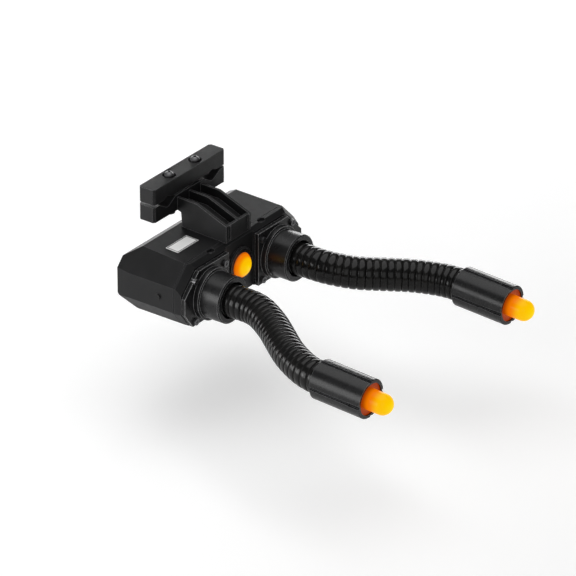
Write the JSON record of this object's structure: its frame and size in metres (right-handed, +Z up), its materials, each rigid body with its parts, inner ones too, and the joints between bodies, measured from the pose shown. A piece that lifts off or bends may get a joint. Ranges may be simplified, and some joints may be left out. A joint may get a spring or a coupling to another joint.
{
  "type": "bicycle tail light",
  "caption": "Bicycle tail light on a saddle rail clamp, with a faceted housing, centre lamp, power button and flexible ribbed arms with amber lamp heads.",
  "frame": {"origin": "midway between the two saddle rail axes, at the middle of the clamp bars' depth", "axes": "+X the bicycle's right, -Y its rear where the lamps face, +Z up"},
  "size_m": [0.168, 0.2132, 0.0781],
  "materials": {
    "clamp_plastic": "satin black",
    "housing_plastic": "fine satin black",
    "gloss_black": "polished black",
    "hose_rubber": "satin black, ribbed",
    "seal_rubber": "matte black",
    "black_steel": "black oxide",
    "screw_steel": "plated",
    "insert_brass": "turned",
    "plate_plastic": "blank white film",
    "circuit_board": "green solder mask",
    "cell_wrap": "shrink wrap",
    "reflector_chrome": "mirror",
    "amber_lens": "clear amber, lit"
  },
  "bodies": {
    "housing": {"battery_cell": "cell_wrap", "bracket": "clamp_plastic", "bracket_screws": "screw_steel", "button_switch": "circuit_board", "centre_bezel": "gloss_black", "centre_led": "amber_lens", "centre_lens": "amber_lens", "centre_reflector": "reflector_chrome", "clamp_nuts": "insert_brass", "cover_screws": "black_steel", "housing_seal": "seal_rubber", "housing_shell": "housing_plastic", "label_plate": "plate_plastic", "left_hose_link_1": "hose_rubber", "left_socket": "housing_plastic", "left_socket_screws": "black_steel", "main_board": "circuit_board", "rear_cover": "housing_plastic", "right_hose_link_1": "hose_rubber", "right_socket": "housing_plastic", "right_socket_screws": "black_steel", "usb_port": "screw_steel"},
    "clamp_cap": {"clamp_top_bar": "clamp_plastic"},
    "left_bolt": {"clamp_bolt_left": "black_steel"},
    "right_bolt": {"clamp_bolt_right": "black_steel"},
    "power_button": {"power_button": "seal_rubber"},
    "port_flap": {"port_cover": "seal_rubber"},
    "right_link_2": {"right_hose_link_2": "hose_rubber"},
    "right_link_3": {"right_hose_link_3": "hose_rubber"},
    "right_link_4": {"right_hose_link_4": "hose_rubber"},
    "right_head": {"right_hose_link_5": "hose_rubber", "right_head_barrel": "gloss_black", "right_head_board": "circuit_board", "right_head_reflector": "reflector_chrome", "right_head_lens": "amber_lens"},
    "left_link_2": {"left_hose_link_2": "hose_rubber"},
    "left_link_3": {"left_hose_link_3": "hose_rubber"},
    "left_link_4": {"left_hose_link_4": "hose_rubber"},
    "left_head": {"left_hose_link_5": "hose_rubber", "left_head_barrel": "gloss_black", "left_head_board": "circuit_board", "left_head_reflector": "reflector_chrome", "left_head_lens": "amber_lens"}
  },
  "joints": [
    {"name": "clamp_open", "type": "slide", "parent": "housing", "child": "clamp_cap", "axis": [0, 0, 1], "range_m": [0, 0.0035]},
    {"name": "left_bolt_turn", "type": "hinge", "parent": "clamp_cap", "child": "left_bolt", "pos_m": [-0.0127, 0, 0.01235], "axis": [0, 0, 1], "range_deg": [0, 1800]},
    {"name": "right_bolt_turn", "type": "hinge", "parent": "clamp_cap", "child": "right_bolt", "pos_m": [0.0127, 0, 0.01235], "axis": [0, 0, 1], "range_deg": [0, 1800]},
    {"name": "power_button_press", "type": "slide", "parent": "housing", "child": "power_button", "axis": [1, 0, 0], "range_m": [0, 0.0006], "stiffness_N_per_m": 200, "springref_m": -0.0006},
    {"name": "port_flap_open", "type": "hinge", "parent": "housing", "child": "port_flap", "pos_m": [0.0603, -0.02488, -0.043], "axis": [0, 0, 1], "range_deg": [0, 110]},
    {"name": "right_arm_base_swing", "type": "hinge", "parent": "housing", "child": "right_link_2", "pos_m": [0.03345, -0.0694, -0.0438], "axis": [0, 0, 1], "range_deg": [-20, 20]},
    {"name": "right_arm_lower_middle_lift", "type": "hinge", "parent": "right_link_2", "child": "right_link_3", "pos_m": [0.03838, -0.09248, -0.04516], "axis": [-0.8979, -0.4402, 0], "range_deg": [-20, 20]},
    {"name": "right_arm_upper_middle_swing", "type": "hinge", "parent": "right_link_3", "child": "right_link_4", "pos_m": [0.05156, -0.1124, -0.04676], "axis": [0, 0, 1], "range_deg": [-20, 20]},
    {"name": "right_arm_neck_lift", "type": "hinge", "parent": "right_link_4", "child": "right_head", "pos_m": [0.06485, -0.13231, -0.0479], "axis": [-0.8931, -0.4498, 0], "range_deg": [-20, 20]},
    {"name": "left_arm_base_swing", "type": "hinge", "parent": "housing", "child": "left_link_2", "pos_m": [-0.03345, -0.0694, -0.0438], "axis": [0, 0, 1], "range_deg": [-20, 20]},
    {"name": "left_arm_lower_middle_lift", "type": "hinge", "parent": "left_link_2", "child": "left_link_3", "pos_m": [-0.03838, -0.09248, -0.04516], "axis": [-0.8979, 0.4402, 0], "range_deg": [-20, 20]},
    {"name": "left_arm_upper_middle_swing", "type": "hinge", "parent": "left_link_3", "child": "left_link_4", "pos_m": [-0.05156, -0.1124, -0.04676], "axis": [0, 0, 1], "range_deg": [-20, 20]},
    {"name": "left_arm_neck_lift", "type": "hinge", "parent": "left_link_4", "child": "left_head", "pos_m": [-0.06485, -0.13231, -0.0479], "axis": [-0.8931, 0.4498, 0], "range_deg": [-20, 20]}
  ],
  "couplings": [
    {"joint": "left_bolt_turn", "follows": "clamp_open", "rad_per_m": 8975.9},
    {"joint": "right_bolt_turn", "follows": "clamp_open", "rad_per_m": 8975.9}
  ]
}
